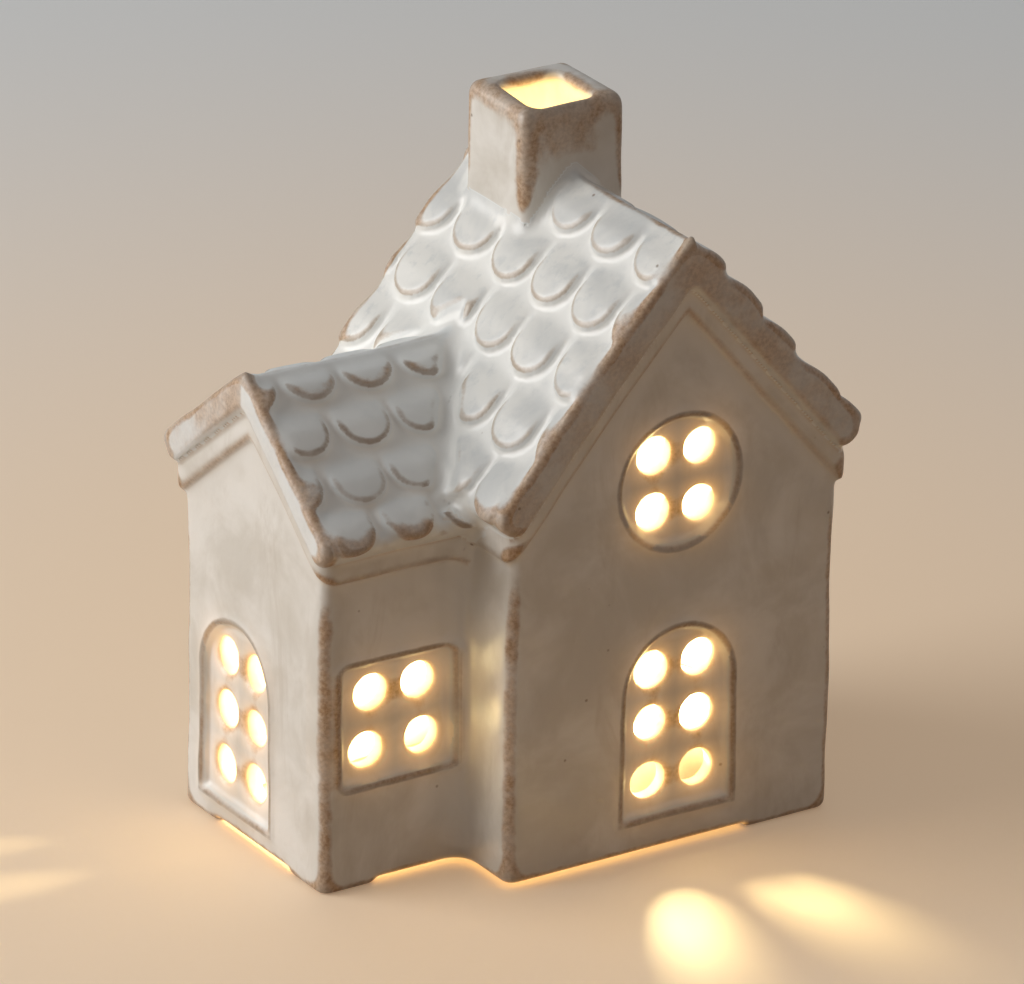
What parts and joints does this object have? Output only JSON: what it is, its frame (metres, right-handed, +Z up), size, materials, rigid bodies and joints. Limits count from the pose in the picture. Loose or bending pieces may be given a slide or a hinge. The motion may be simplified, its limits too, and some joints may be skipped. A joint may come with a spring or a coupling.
{
  "type": "ceramic village house",
  "caption": "Glazed stoneware village house with a side wing, scalloped tile roofs, punched window holes and an open chimney, standing over a battery tealight.",
  "frame": {"origin": "middle of the whole outline, at table level", "axes": "+X to the right seen from the main gable, +Y from the main gable to the back, +Z up"},
  "size_m": [0.0956, 0.0634, 0.1188],
  "materials": {
    "cream_glaze": "gloss, brown where it breaks on edges",
    "white_glaze": "gloss, pooled white with grey-brown lines round the tiles",
    "grey_glaze": "gloss, pooled white with grey-brown lines round the tiles",
    "ivory_plastic": "satin",
    "flame_plastic": "translucent satin, lit",
    "led_resin": "clear resin, lit",
    "cell_steel": "bright",
    "contact_brass": "stamped",
    "screw_steel": "zinc plated",
    "dark_plastic": "moulded"
  },
  "bodies": {
    "light": {"light_cup": "ivory_plastic", "flame_lens": "flame_plastic", "led_lamp": "led_resin", "base_plate": "ivory_plastic", "coin_cell": "cell_steel", "contact_negative": "contact_brass", "contact_positive": "contact_brass", "contact_lamp": "contact_brass", "switch_retainer": "dark_plastic"},
    "house": {"main_walls": "cream_glaze", "wing_walls": "cream_glaze", "main_roof": "white_glaze", "wing_roof": "grey_glaze", "chimney": "cream_glaze"},
    "switch": {"switch_knob": "dark_plastic", "switch_wiper": "contact_brass"},
    "door": {"battery_door": "ivory_plastic", "door_screw": "screw_steel"}
  },
  "joints": [
    {"name": "house_lift", "type": "slide", "parent": "light", "child": "house", "axis": [0, 0, 1], "range_m": [0, 0.05]},
    {"name": "switch_slide", "type": "slide", "parent": "light", "child": "switch", "axis": [0, 1, 0], "range_m": [0, 0.0024]},
    {"name": "door_release", "type": "slide", "parent": "light", "child": "door", "axis": [0, 0, -1], "range_m": [0, 0.012]}
  ]
}
